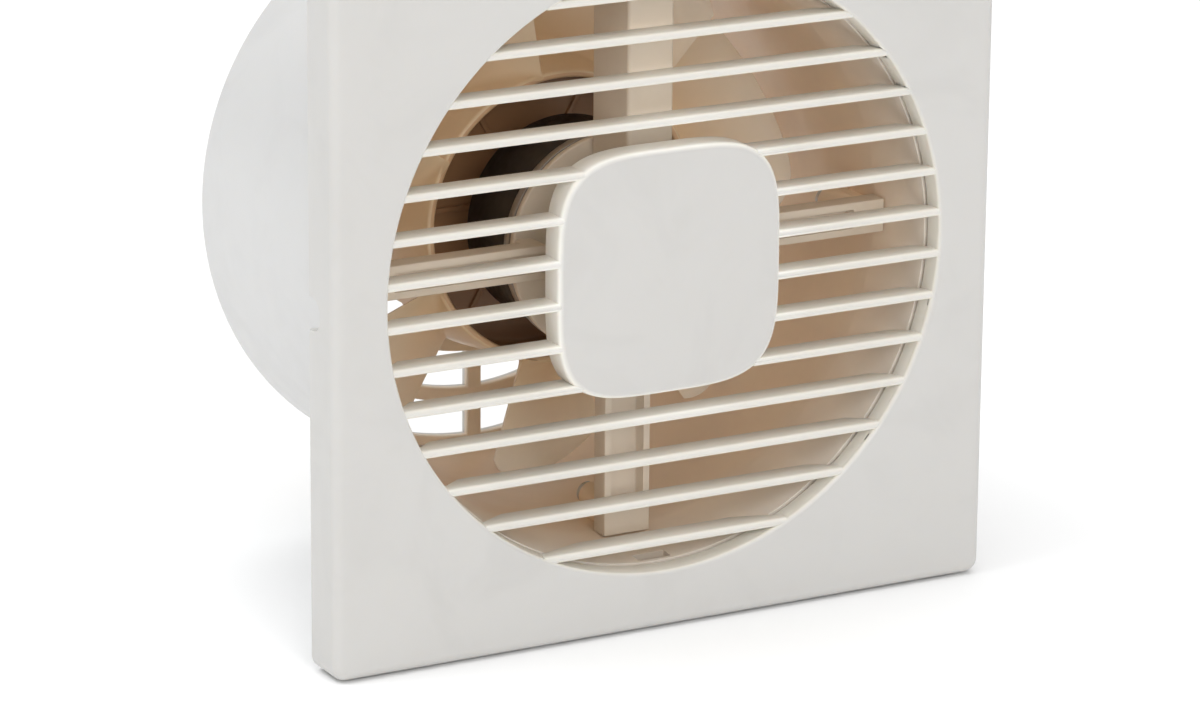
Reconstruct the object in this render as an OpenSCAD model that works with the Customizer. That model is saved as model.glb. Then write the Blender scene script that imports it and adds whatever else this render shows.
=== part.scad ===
// Wall-mounted axial extractor fan for a round 150 mm duct.
// Origin: centre of the wall face, on the duct axis. +Y runs into the wall along the duct, +Z is up.
// Depths are counted from the front face of the cover; at(depth) turns one into a Y position.

/* [Cover] */
// Width and height of the square front cover
cover_w = 180; // [176:0.5:190]
// Depth of the cover, from its front face to the wall
cover_t = 13; // [12:0.5:16]
// Thickness of the cover's front wall
cover_wall = 2.6; // [2:0.1:3]
// Thickness of the cover's skirt
skirt_wall = 2.2; // [1.6:0.1:2.4]
// Corner radius of the cover
cover_corner = 3.5; // [2:0.5:8]
// Radius of the round opening at the front face
opening_r = 75.5; // [75.5:0.1:76]
// Pairs of louvre bars, half of them above the centre line and half below
bar_pairs = 7; // [5:1:7]
// Pitch of the louvre bars
bar_pitch = 10.5; // [9:0.5:10.5]
// Thickness of a louvre bar
bar_t = 2; // [1.6:0.1:3]
// Depth of a louvre bar, front to back
bar_depth = 7.5; // [6:0.5:8]
// Half width of the blank boss in the middle of the bars
boss_half = 30.4; // [26:0.2:34]

/* [Housing] */
// Outer radius of the duct spigot
duct_r = 75; // [75:0.1:75.2]
// Inner radius of the duct where the fan turns
bore_r = 72.5; // [72:0.1:73]
// Length of the duct behind the wall face
duct_len = 93; // [93:1:110]
// Distance between the wall screws, along X and along Z
screw_pitch = 148; // [140:1:150]
// Radius of a wall-screw hole
wall_hole_r = 2.3; // [2:0.1:2.8]
// Radius of the grommet's opening for the mains cable
cable_r = 3.5; // [2.5:0.1:4]

/* [Spider] */
// Radius of the plate that carries the motor
disc_r = 27.7; // [27:0.1:30]
// Width of the upper and the lower arm
wide_arm = 12.6; // [10:0.1:14]
// Height of the two side arms
side_arm = 8.4; // [7:0.1:10]
// Thickness of the arms' walls
arm_wall = 1.5; // [1.2:0.1:2]

/* [Motor] */
// Outer radius of the motor can
can_r = 26.3; // [25.8:0.1:26.6]
// Radius of the shaft
shaft_r = 2.5; // [2:0.1:3]
// Running clearance between the shaft and its bearings
running = 0.03; // [0.01:0.01:0.08]

/* [Impeller] */
// Number of blades
blades = 7; // [5:1:7]
// Radius of the blade tips
tip_r = 68; // [60:0.5:70]
// Radius of the hub at its open front rim
hub_front_r = 37.3; // [36:0.1:38]
// Radius of the hub at its back
hub_back_r = 40.3; // [39:0.1:42]
// Angle that one blade spans about the axis
blade_sweep = 38.8; // [30:0.2:44]
// Thickness of a blade
blade_t = 2; // [1.6:0.1:2.4]

/* [Guard] */
// Number of radial ribs in the rear guard
guard_ribs = 8; // [8:4:16]
// Width of a rib
rib_w = 4.1; // [3:0.1:5]
// Thickness of the guard, front to back
guard_t = 3.5; // [3:0.5:5]

/* [Hidden] */

fine = 120;
small = 32;
cut = 0.1;           // how far a cutting body runs past the face it cuts
gap = 0.9;           // gap between the cover's collar and the housing's

front = -cover_t;
duct_end = duct_len;
collar_depth = 5;
collar_back_r = opening_r - 0.6;
collar_out_r = 77;
skirt_in = cover_w - 2 * skirt_wall;
bar_front = 0.3;     // how far the bars' noses sit behind the front face
boss_n = 4;          // exponent of the boss's outline, between a circle and a square

boss_wall = 2;
tongue_w = 8;        // latch tongues over and under the collar
tongue_r = 77.6;
tongue_t = 1.6;
tongue_len = 7.3;
notch_r = 4.1;       // screwdriver notches in the cover's sides
notch_at = [-2, -1.5];

base_w = skirt_in - 2;
base_t = 2.5;
base_corner = 3;
rim_wall = 1.6;
rim_front = 3.4;
taper_end = 26;      // depth at which the flared mouth reaches the bore radius
duct_edge = 0.8;     // chamfer round the duct's back end
wall_boss_r = 3.4;
foot_boss_back = 40;
guard_boss_front = 86;
window_w = 9;        // latch windows in the housing's collar
window_front = 7;
window_t = 3.5;
pad_r = 5.5;         // pads round the wall screws
pad_h = 1.5;
post_r = 2.4;        // posts of the cable clamp
post_h = 2.4;

foot_r = 67.6;       // radius at which the spider's feet are screwed down
arm_front = 21;
arm_root = disc_r - 5;
trough_end = foot_r - 4;
arm_back = 26.5;
duct_front = 11;     // front face of the upper arm's wiring duct
duct_start = 20;     // where the wiring duct starts, above the axis
duct_span = 45.5;
disc_front = 29.2;
disc_t = 2;
foot_end = bore_r - 0.3;
floor_w = 9.2;       // floor and foot of the upper arm
floor_front = 25;
floor_t = 5;
foot_front = 22;
foot_start = 60;
foot_screw_r = 1.5;

plate_front = disc_front + disc_t;
plate_t = 2;
can_front = plate_front + plate_t;
lip_front = plate_front + 0.7;
lip_back = can_front + 1.2;
can_back = 57;
can_wall = 0.8;
stack_front = 38;    // lamination stack of the stator and of the rotor
stack_back = 52;
pole_w = 9;
yoke_in = 21.3;
air_gap = 0.3;
rotor_r = 13.1;
cage_in = 8;         // end rings of the rotor's cage
cage_out = rotor_r - 0.4;
ring_len = 2.5;
cage_bars = 14;
cage_bar_r = 0.9;
cage_r = 11.6;       // radius of the ring of cage bars
coil_in = 15.2;
coil_out = 19.9;
bobbin_t = 0.8;
coil_t = 2.6;
bearing_r = 5.5;
seat = 0.02;         // room round a bearing in its pocket
motor_screw_r = 1.5;
motor_screw_at = 19; // distance of the motor's screws from the axis
hump_r = 7.5;
hump_front = disc_front + 0.1;
pocket_front = hump_front + 0.8;
hump_back = 60.5;

hub_front = 55.4;
hub_back = 81;
hub_wall = 2;
hub_floor_front = 75;
hub_floor_back = 77.5;
hub_ribs = 6;
rib_t = 1.4;
bush_r = 4.5;
bush_front = 62.5;
bush_boss_r = 7;
nut_front = 78.9;    // front face of the nut that holds the impeller
blade_front = 55.8;
blade_back = 80.6;
first_blade = -107;  // angle of the first blade's leading edge

guard_screw_r = 66.6;
guard_ear_r = 4.2;
rib_start = 30;
rib_len = 40.5;
dish_r = 34;         // dished middle of the guard, on the side towards the impeller
dish_t = 1.3;
sink_r = 3;
sink_t = 2;
guard_ring = [[0, 37.8], [43.2, 46.9], [56.5, 60.2], [69.4, 72.2]];

inlet = [60, 66];
clamp_x = 42;
clamp_z = [68.2, 82.4];
ring_r = 7;          // ring round the cable inlet
terminal_x = [1, 11];
terminal_z = 9.5;
terminal_front = 18;
terminal_axis = 24;  // depth of the brass contacts' bores
terminal_step = 7.5;
contact_r = 2.5;
contact_bore_r = 1.5;
contact_len = 14;
contact_screw_z = 4.5;
fixing_x = 18;       // the terminal block's fixing screw
lead_hole = [12, 0, -15.5];
lead_hole_r = 3.6;

function at(depth) = front + depth;

// ---- helpers -------------------------------------------------------------------------------

// Extrude a shape drawn in X and Z from one Y position to another
module along_y(y0, y1) {
    translate([0, y1, 0]) rotate([90, 0, 0]) linear_extrude(y1 - y0) children();
}

// Extrude a shape drawn in Y and Z from one X position to another
module along_x(x0, x1) {
    translate([x0, 0, 0]) rotate([90, 0, 90]) linear_extrude(x1 - x0) children();
}

// Turn a profile of [radius, y] points about the duct axis
module turned(fn = fine) {
    rotate([-90, 0, 0]) rotate_extrude($fn = fn) children();
}

// A round bar or disc on the duct axis
module round_y(r, y0, y1, fn = fine) {
    along_y(y0, y1) circle(r, $fn = fn);
}

// A tube on the duct axis
module tube_y(r_out, r_in, y0, y1, fn = fine) {
    along_y(y0, y1) difference() {
        circle(r_out, $fn = fn);
        circle(r_in, $fn = fn);
    }
}

// Place children at an angle about the duct axis, at a radius, counted from +X towards +Z
module polar(angle, r) {
    rotate([0, -angle, 0]) translate([r, 0, 0]) children();
}

// A square with rounded corners, centred
module rounded_square(w, h, r) {
    square([w - 2 * r, h], center = true);
    square([w, h - 2 * r], center = true);
    for (x = [-1, 1], z = [-1, 1])
        translate([x * (w / 2 - r), z * (h / 2 - r)]) circle(r, $fn = small);
}

// The boss's outline: a superellipse
module squircle(half) {
    steps = 96;
    polygon([for (i = [0 : steps - 1])
        let (a = 360 * i / steps, c = cos(a), s = sin(a))
        half / pow(pow(abs(c), boss_n) + pow(abs(s), boss_n), 1 / boss_n) * [c, s]]);
}

// A pan-head screw with a cross recess, its head towards -Y and its shank running to +Y
module screw(r, head_r, head_h, length) {
    difference() {
        union() {
            round_y(r, 0, length, small);
            round_y(head_r, -head_h, 0, small);
        }
        for (a = [0, 90])
            rotate([0, a, 0])
                translate([-head_r * 0.6, -head_h - cut, -head_r * 0.13])
                    cube([head_r * 1.2, head_h * 0.5 + cut, head_r * 0.26]);
    }
}

function unit(v) = v / norm(v);

// A point on a cubic curve with four control points
function curve(p, t) =
    pow(1 - t, 3) * p[0] + 3 * pow(1 - t, 2) * t * p[1] + 3 * (1 - t) * t * t * p[2] + t * t * t * p[3];

// A wire of radius r along a cubic curve that never runs along X
module wire(p, r) {
    rings = 14;
    sides = 8;
    path = [for (i = [0 : rings - 1]) curve(p, i / (rings - 1))];
    points = [for (i = [0 : rings - 1])
        let (along = unit(path[min(i + 1, rings - 1)] - path[max(i - 1, 0)]),
             u = unit(cross(along, [1, 0, 0])), v = cross(along, u))
        for (k = [0 : sides - 1])
            path[i] + r * (cos(360 * k / sides) * u + sin(360 * k / sides) * v)];
    walls = [for (i = [0 : rings - 2], k = [0 : sides - 1])
        let (a = i * sides + k, b = i * sides + (k + 1) % sides)
        each [[a, a + sides, b + sides], [a, b + sides, b]]];
    start_cap = [[for (k = [0 : sides - 1]) k]];
    end_cap = [[for (k = [sides - 1 : -1 : 0]) (rings - 1) * sides + k]];
    polyhedron(points, concat(start_cap, walls, end_cap));
}

// ---- front cover ---------------------------------------------------------------------------

// Heights of the louvre bars
function bar_z() = [for (k = [0 : bar_pairs - 1], side = [-1, 1]) side * (k + 0.5) * bar_pitch];

// The bars stay inside the opening, and their back corners are cut to clear the housing
module bar_envelope() {
    turned() polygon([[0, front - 1], [opening_r + 0.6, front - 1], [opening_r + 0.6, at(3.5)],
                      [bore_r - 1, at(bar_depth)], [0, at(bar_depth)]]);
}

module bars() {
    intersection() {
        for (z = bar_z())
            translate([0, 0, z]) along_x(-opening_r - 1, opening_r + 1) {
                translate([at(bar_front) + bar_t / 2, 0]) circle(bar_t / 2, $fn = small);
                translate([at(bar_front) + bar_t / 2, -bar_t / 2]) square([bar_depth, bar_t]);
            }
        bar_envelope();
    }
}

module front_grille() {
    color([0.93, 0.92, 0.88]) difference() {
        union() {
            // flat front and skirt, open at the back
            difference() {
                along_y(front, 0) rounded_square(cover_w, cover_w, cover_corner);
                along_y(at(cover_wall), cut) rounded_square(skirt_in, skirt_in, cover_corner - 1);
                round_y(opening_r, front - cut, 0);
            }
            // collar of the round opening
            turned() polygon([[opening_r, front], [collar_out_r, front],
                              [collar_out_r, at(collar_depth)], [collar_back_r, at(collar_depth)]]);
            // bars, cut away inside the boss
            difference() {
                bars();
                along_y(front - cut, 0) squircle(boss_half - 1);
            }
            // boss, hollow from behind
            difference() {
                along_y(front, at(bar_depth)) squircle(boss_half);
                along_y(at(boss_wall), at(bar_depth) + cut) squircle(boss_half - boss_wall);
            }
            // two latch tongues that pass outside the housing's collar
            for (side = [-1, 1])
                translate([-tongue_w / 2, at(cover_wall) - cut, side > 0 ? tongue_r : -tongue_r - tongue_t])
                    cube([tongue_w, tongue_len, tongue_t]);
        }
        // notch in each side wall for a screwdriver tip
        for (side = [-1, 1])
            along_x(side > 0 ? cover_w / 2 - 5 : -cover_w / 2 - cut,
                    side > 0 ? cover_w / 2 + cut : -cover_w / 2 + 5)
                translate(notch_at) {
                    circle(notch_r, $fn = small);
                    translate([0, -notch_r]) square([3, 2 * notch_r]);
                }
    }
}

// ---- housing -------------------------------------------------------------------------------

module duct_profile() {
    polygon([[collar_back_r - 0.2, at(collar_depth + gap)], [collar_out_r, at(collar_depth + gap)],
             [collar_out_r, 0], [duct_r, 0], [duct_r, duct_end - duct_edge],
             [duct_r - duct_edge, duct_end], [bore_r, duct_end], [bore_r, at(taper_end)]]);
}

// A screw boss that grows out of the duct wall
module wall_boss(angle, r, y0, y1) {
    polar(angle, r) {
        round_y(wall_boss_r, y0, y1, small);
        translate([0, y0, -wall_boss_r]) cube([bore_r + 1 - r, y1 - y0, 2 * wall_boss_r]);
    }
}

// The round duct with its flared mouth, and the bosses on its wall
module housing() {
    color([0.95, 0.94, 0.91]) difference() {
        union() {
            turned() duct_profile();
            for (a = [0 : 90 : 270])
                wall_boss(a, foot_r, at(arm_back + 0.1), at(foot_boss_back));
            for (a = [45 : 90 : 315])
                wall_boss(a, guard_screw_r, at(guard_boss_front), duct_end - guard_t);
        }
        // latch windows under and over the opening
        for (side = [-1, 1])
            translate([-window_w / 2, at(window_front), side > 0 ? bore_r : -bore_r - 6])
                cube([window_w, window_t, 6]);
        // passage for the cable, over the collar and into the upper arm
        translate([6, at(collar_depth), bore_r - 3]) cube([7, cover_t - collar_depth - base_t, 9]);
        for (a = [0 : 90 : 270])
            polar(a, foot_r) round_y(foot_screw_r + 0.15, at(arm_back), at(foot_boss_back) + cut, small);
        for (a = [45 : 90 : 315])
            polar(a, guard_screw_r) round_y(foot_screw_r + 0.05, at(88), duct_end, small);
    }
}

// The square base round the duct's mouth, with a low rim
module housing_base() {
    color([0.95, 0.94, 0.91]) difference() {
        union() {
            along_y(-base_t, 0) difference() {
                rounded_square(base_w, base_w, base_corner);
                circle(collar_out_r, $fn = fine);
            }
            along_y(at(rim_front), 0) difference() {
                rounded_square(base_w, base_w, base_corner);
                rounded_square(base_w - 2 * rim_wall, base_w - 2 * rim_wall, base_corner - 1);
            }
            // pads round the wall screws
            for (x = [-1, 1], z = [-1, 1])
                translate([x, 0, z] * screw_pitch / 2) round_y(pad_r, -base_t - pad_h, 0, small);
            // posts of the cable clamp
            for (z = clamp_z)
                translate([clamp_x, 0, z]) round_y(post_r, -base_t - post_h, -base_t / 2, small);
            // ring round the cable inlet
            translate([inlet[0], 0, inlet[1]]) round_y(ring_r, -base_t - 0.8, 0, small);
        }
        // wall-screw holes
        for (x = [-1, 1], z = [-1, 1])
            translate([x, 0, z] * screw_pitch / 2) round_y(wall_hole_r, -base_t - 5, cut, small);
        for (z = clamp_z)
            translate([clamp_x, 0, z]) round_y(1.25, -base_t - 5, -0.6, small);
        translate([inlet[0], 0, inlet[1]]) round_y(cable_r + 1.5, -base_t - 5, cut, small);
    }
}

// ---- spider that carries the motor ---------------------------------------------------------

// A channel, open to the front, that runs from the disc to a foot at the duct wall
module channel_arm(angle, width) {
    inner = width - 2 * arm_wall;
    polar(angle, 0) difference() {
        translate([arm_root, at(arm_front), -width / 2])
            cube([foot_end - arm_root, arm_back - arm_front, width]);
        translate([arm_root - cut, at(arm_front) - cut, -inner / 2])
            cube([trough_end - arm_root, arm_back - arm_front - arm_wall + cut, inner]);
    }
    // root that joins the arm to the disc
    polar(angle, 0) translate([arm_root, at(arm_back) - 1, -width / 2])
        cube([4.2, disc_front - arm_back + 1.5, width]);
}

module motor_spider() {
    color([0.90, 0.88, 0.82]) difference() {
        union() {
            round_y(disc_r, at(disc_front), at(plate_front));
            channel_arm(0, side_arm);
            channel_arm(180, side_arm);
            channel_arm(270, wide_arm);
            // floor of the upper arm, under the wiring duct
            translate([-floor_w / 2, at(floor_front), arm_root])
                cube([floor_w, floor_t, trough_end - arm_root]);
            translate([-floor_w / 2, at(foot_front), foot_start])
                cube([floor_w, arm_back - foot_front, foot_end - foot_start]);
        }
        round_y(hump_r + 0.3, at(disc_front) - 9, at(plate_front) + cut, small);
        for (a = [0 : 90 : 270])
            polar(a, foot_r) round_y(foot_screw_r + 0.05, at(23), at(arm_back) + cut, small);
        for (a = [90, 270])
            polar(a, motor_screw_at)
                round_y(motor_screw_r + 0.1, at(disc_front) - cut, at(plate_front) + cut, small);
        // hole for the motor leads, and one for the terminal block's screw
        translate(lead_hole) round_y(lead_hole_r, at(disc_front) - cut, at(plate_front) + cut, small);
        translate([fixing_x, 0, 0]) round_y(1.25, at(disc_front) - cut, at(plate_front) + cut, small);
    }
}

module spider_screws() {
    color([0.75, 0.75, 0.77]) for (a = [0 : 90 : 270])
        polar(a, foot_r) translate([0, at(foot_boss_back), 0]) rotate([0, 0, 180])
            screw(foot_screw_r, 2.8, 1.8, 16.6);
}

// Snap-on cover that closes the upper arm's wiring duct
module wiring_duct_cover() {
    color([0.91, 0.89, 0.83]) difference() {
        translate([-wide_arm / 2, at(duct_front), duct_start])
            cube([wide_arm, disc_front - 0.2 - duct_front, duct_span]);
        translate([-wide_arm / 2 + arm_wall, at(duct_front + arm_wall), duct_start - cut])
            cube([wide_arm - 2 * arm_wall, 30, duct_span + 2 * cut]);
    }
}

// ---- rear guard ----------------------------------------------------------------------------

module rear_guard() {
    y0 = duct_end - guard_t;
    color([0.94, 0.93, 0.90]) difference() {
        union() {
            for (ring = guard_ring)
                along_y(y0, duct_end) difference() {
                    circle(ring[1], $fn = fine);
                    if (ring[0] > 0) circle(ring[0], $fn = fine);
                }
            for (k = [0 : guard_ribs - 1])
                polar(360 / guard_ribs * k, 0)
                    translate([rib_start, y0, -rib_w / 2]) cube([rib_len, guard_t, rib_w]);
            for (a = [45 : 90 : 315])
                polar(a, guard_screw_r) round_y(guard_ear_r, y0, duct_end, small);
        }
        // the disc is dished on the side towards the impeller
        round_y(dish_r, y0 - cut, y0 + dish_t);
        for (a = [45 : 90 : 315])
            polar(a, guard_screw_r) {
                round_y(1.7, y0 - cut, duct_end + cut, small);
                round_y(sink_r, duct_end - sink_t, duct_end + cut, small);
            }
    }
}

module guard_screws() {
    color([0.75, 0.75, 0.77]) for (a = [45 : 90 : 315])
        polar(a, guard_screw_r) translate([0, duct_end - sink_t, 0]) rotate([0, 0, 180])
            screw(foot_screw_r, 2.7, 1.6, 10);
}

// ---- mains connection ----------------------------------------------------------------------

module cable_grommet() {
    color([0.15, 0.15, 0.15]) translate([inlet[0], 0, inlet[1]]) turned(small)
        polygon([[cable_r, -base_t - 2.2], [cable_r + 3, -base_t - 2.2],
                 [cable_r + 3, -base_t - 0.85], [cable_r + 1.45, -base_t - 0.85],
                 [cable_r + 1.45, 0], [cable_r, 0]]);
}

// Bridge that holds the mains cable's sheath, open underneath
module cable_clamp() {
    foot_y = -base_t - post_h;
    color([0.88, 0.87, 0.84]) difference() {
        union() {
            for (z = clamp_z)
                translate([clamp_x, 0, z]) round_y(2.5, foot_y - 1.2, foot_y, small);
            translate([clamp_x - 2.5, foot_y - 2.6, clamp_z[0]])
                cube([5, 2.6, clamp_z[1] - clamp_z[0]]);
        }
        translate([clamp_x - 3, foot_y - 1.4, clamp_z[0] + 2.6])
            cube([6, 1.4 + cut, clamp_z[1] - clamp_z[0] - 5.2]);
        for (z = clamp_z) {
            translate([clamp_x, 0, z]) round_y(1.3, foot_y - 5, foot_y + cut, small);
            translate([clamp_x, 0, z]) round_y(2.3, foot_y - 5, foot_y - 1.2, small);
        }
    }
}

module clamp_screws() {
    color([0.75, 0.75, 0.77]) for (z = clamp_z)
        translate([clamp_x, -base_t - 3.6, z]) screw(1.2, 2.1, 1.3, 4.6);
}

module terminal_block() {
    x0 = terminal_x[0] - 5;
    x1 = fixing_x + 3.5;
    color([0.93, 0.93, 0.91]) difference() {
        translate([x0, at(terminal_front), -terminal_z])
            cube([x1 - x0, disc_front - terminal_front, 2 * terminal_z]);
        for (x = terminal_x) {
            translate([x, at(terminal_axis), 0]) {
                cylinder(r = contact_r + 0.05, h = 2 * terminal_z + 1, center = true, $fn = small);
                for (z = [-contact_screw_z, contact_screw_z])
                    translate([0, 0, z]) round_y(2, -20, 0, small);
            }
        }
        // step beside the poles, with the fixing hole, and the dividing slot between the poles
        translate([x1 - 6, at(terminal_front) - cut, -terminal_z - cut])
            cube([7, terminal_step, 2 * terminal_z + 1]);
        translate([fixing_x, 0, 0]) round_y(1.6, at(terminal_front), at(disc_front) + cut, small);
        translate([5.4, at(terminal_front) - cut, -terminal_z - cut])
            cube([1.2, 3, 2 * terminal_z + 1]);
    }
}

module terminal_contacts() {
    color([0.80, 0.66, 0.32]) for (x = terminal_x)
        translate([x, at(terminal_axis), 0]) difference() {
            cylinder(r = contact_r, h = contact_len, center = true, $fn = small);
            cylinder(r = contact_bore_r, h = contact_len + 1, center = true, $fn = small);
            for (z = [-contact_screw_z, contact_screw_z])
                translate([0, 0, z]) round_y(1.25, -5, 0, small);
        }
}

module terminal_screws() {
    color([0.80, 0.80, 0.80]) for (x = terminal_x, z = [-1, 1] * contact_screw_z)
        translate([x, at(terminal_axis) - 2.8, z]) screw(1.2, 1.85, 1.2, 2.2);
}

module terminal_fixing_screw() {
    color([0.75, 0.75, 0.77]) translate([fixing_x, at(terminal_front + 7.4), 0])
        screw(1.2, 2.4, 1.4, 5.5);
}

// Two insulated leads from the terminal block, through the disc, to the windings
module motor_leads() {
    y = at(terminal_axis);
    color([0.20, 0.30, 0.55]) {
        wire([[11, y, -7.2], [11, y, -15], [13.8, y, -14], [13.8, at(36.5), -13.6]], 0.8);
        wire([[1, y, -7.2], [1, y, -18], [13.5, y, -17], [12, at(36.5), -16.2]], 0.8);
    }
}

module motor_screws() {
    color([0.75, 0.75, 0.77]) for (a = [90, 270])
        polar(a, motor_screw_at) translate([0, at(disc_front), 0])
            screw(motor_screw_r, 2.7, 1.7, disc_t + plate_t - 0.1);
}

// ---- motor ---------------------------------------------------------------------------------

// A pressed cap whose lip closes over the can
module motor_front_plate() {
    color([0.62, 0.63, 0.64]) difference() {
        union() {
            turned() polygon([[0, at(plate_front)], [can_r - 0.8, at(plate_front)],
                              [can_r - 0.8, at(lip_front)], [can_r + 1.2, at(lip_front)],
                              [can_r + 1.2, at(lip_back)], [can_r + 0.1, at(lip_back)],
                              [can_r + 0.1, at(can_front)], [0, at(can_front)]]);
            round_y(hump_r, at(hump_front), at(can_front), small);
        }
        round_y(bearing_r + seat, at(pocket_front), at(can_front) + cut, small);
        for (a = [90, 270])
            polar(a, motor_screw_at)
                round_y(motor_screw_r + 0.05, at(plate_front) - cut, at(can_front) + cut, small);
        translate(lead_hole) round_y(lead_hole_r, at(plate_front) - cut, at(can_front) + cut, small);
    }
}

module motor_can() {
    color([0.12, 0.11, 0.10]) turned()
        polygon([[can_r - can_wall, at(can_front)], [can_r, at(can_front)], [can_r, at(can_back - 1)],
                 [can_r - 1, at(can_back)], [hump_r, at(can_back)], [hump_r, at(hump_back)],
                 [shaft_r + 0.5, at(hump_back)], [shaft_r + 0.5, at(hump_back - 1)],
                 [bearing_r + seat, at(hump_back - 1)], [bearing_r + seat, at(can_back - 1)],
                 [can_r - can_wall, at(can_back - 1)]]);
}

module front_bearing() {
    color([0.72, 0.55, 0.32])
        tube_y(bearing_r, shaft_r + running, at(pocket_front), at(can_front), small);
}

module rear_bearing() {
    color([0.72, 0.55, 0.32])
        tube_y(bearing_r, shaft_r + running, at(can_back - 1), at(hump_back - 1.1), small);
}

// Four salient poles in a round yoke
module stator_core() {
    color([0.42, 0.42, 0.44]) along_y(at(stack_front), at(stack_back)) difference() {
        union() {
            difference() {
                circle(can_r - can_wall - 0.1, $fn = fine);
                circle(yoke_in, $fn = fine);
            }
            for (a = [0 : 90 : 270])
                rotate(a) translate([rotor_r + 0.5, -pole_w / 2]) square([8, pole_w]);
            // pole shoes
            intersection() {
                circle(coil_in - 0.1, $fn = fine);
                for (a = [0 : 90 : 270])
                    rotate(a) translate([5, -8]) square([12, 16]);
            }
        }
        circle(rotor_r + air_gap, $fn = fine);
        // slots for the shading rings
        for (a = [0 : 90 : 270])
            rotate(a) translate([rotor_r, 2.4]) square([coil_in - rotor_r - 0.1, 0.9]);
    }
}

// One copper loop in each pole's slot, over the front and the back of the stack
module shading_rings() {
    color([0.78, 0.45, 0.28]) for (a = [0 : 90 : 270])
        polar(a, 0) difference() {
            translate([rotor_r + 0.7, at(stack_front - 0.8), 2.45])
                cube([0.9, stack_back - stack_front + 1.6, 5.2]);
            translate([rotor_r, at(stack_front), 3.25])
                cube([3, stack_back - stack_front, 10]);
        }
}

// A square tube round a pole, between two radii
module pole_sleeve(inner, wall, r0, r1) {
    axial = (stack_back - stack_front) / 2 + inner;
    across = pole_w / 2 + inner;
    mid = at((stack_front + stack_back) / 2);
    translate([r0, mid, 0]) difference() {
        translate([0, -axial - wall, -across - wall])
            cube([r1 - r0, 2 * (axial + wall), 2 * (across + wall)]);
        translate([-1, -axial, -across]) cube([r1 - r0 + 2, 2 * axial, 2 * across]);
    }
}

module coil_bobbins() {
    color([0.90, 0.88, 0.80]) for (a = [0 : 90 : 270])
        polar(a, 0) {
            pole_sleeve(0.05, bobbin_t, coil_in, coil_out);
            pole_sleeve(0.05, bobbin_t + 1.4, coil_in, coil_in + 0.6);
        }
}

module stator_coils() {
    color([0.72, 0.38, 0.20]) for (a = [0 : 90 : 270])
        polar(a, 0) pole_sleeve(0.1 + bobbin_t, coil_t - 0.4, coil_in + 0.7, coil_out - 0.3);
}

module rotor_core() {
    color([0.45, 0.45, 0.47]) along_y(at(stack_front), at(stack_back)) difference() {
        circle(rotor_r, $fn = fine);
        circle(shaft_r, $fn = small);
        for (k = [0 : cage_bars - 1])
            rotate(360 / cage_bars * k) translate([cage_r, 0]) circle(cage_bar_r, $fn = small);
    }
}

module rotor_cage() {
    color([0.80, 0.80, 0.82]) {
        tube_y(cage_out, cage_in, at(stack_front - ring_len), at(stack_front), small * 2);
        tube_y(cage_out, cage_in, at(stack_back), at(stack_back + ring_len), small * 2);
        for (k = [0 : cage_bars - 1])
            polar(360 / cage_bars * k, cage_r)
                round_y(cage_bar_r, at(stack_front) - cut, at(stack_back) + cut, small);
    }
}

module motor_shaft() {
    color([0.78, 0.78, 0.80]) turned(small * 2)
        polygon([[0, at(30.3)], [shaft_r - 0.3, at(30.3)], [shaft_r, at(30.6)],
                 [shaft_r, at(81.6)], [shaft_r - 0.4, at(82)], [0, at(82)]]);
}

module thrust_washers() {
    color([0.85, 0.83, 0.75]) {
        tube_y(4.8, shaft_r, at(33.7), at(34.2), small);
        tube_y(4.8, shaft_r, at(55.2), at(55.8), small);
    }
}

// ---- impeller ------------------------------------------------------------------------------

function hub_r(depth) =
    hub_front_r + (hub_back_r - hub_front_r) * (depth - hub_front) / (hub_back - hub_front);

// Depth of a blade's middle surface at a share of its chord, slightly cambered
function blade_depth(t) =
    blade_front + (blade_back - blade_front) * t - 1.6 * sin(180 * t);

// Thickness of a blade at a share of its chord: full in the middle, thin at both edges
function blade_thick(t) = blade_t * (0.45 + 0.55 * pow(sin(180 * t), 0.6));

// Leading-edge tips are rounded back
function tip_radius(t) = tip_r - 5 * pow(max(0, 1 - t / 0.22), 2);

// A helical blade: rings of points over the chord, from inside the hub wall to the tip
module blade() {
    chord = 12;
    span = 6;
    row = span + 1;
    side = (chord + 1) * row;
    function point(i, j, face) =
        let (t = i / chord, d = blade_depth(t),
             r0 = hub_r(d) - 1, r = r0 + (tip_radius(t) - r0) * j / span,
             a = blade_sweep * t)
        [r * cos(a), at(d) + face * blade_thick(t) / 2, r * sin(a)];
    points = concat([for (i = [0 : chord], j = [0 : span]) point(i, j, -1)],
                    [for (i = [0 : chord], j = [0 : span]) point(i, j, 1)]);
    front_faces = [for (i = [0 : chord - 1], j = [0 : span - 1])
        let (p = i * row + j) each [[p, p + row, p + 1], [p + 1, p + row, p + row + 1]]];
    back_faces = [for (f = front_faces) [f[0] + side, f[2] + side, f[1] + side]];
    edge = concat([for (i = [0 : chord - 1]) [i * row, (i + 1) * row]],
                  [for (j = [0 : span - 1]) [chord * row + j, chord * row + j + 1]],
                  [for (i = [chord : -1 : 1]) [i * row + span, (i - 1) * row + span]],
                  [for (j = [span : -1 : 1]) [j, j - 1]]);
    edge_faces = [for (e = edge)
        each [[e[0], e[0] + side, e[1]], [e[1], e[0] + side, e[1] + side]]];
    polyhedron(points, concat(front_faces, back_faces, edge_faces));
}

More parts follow.
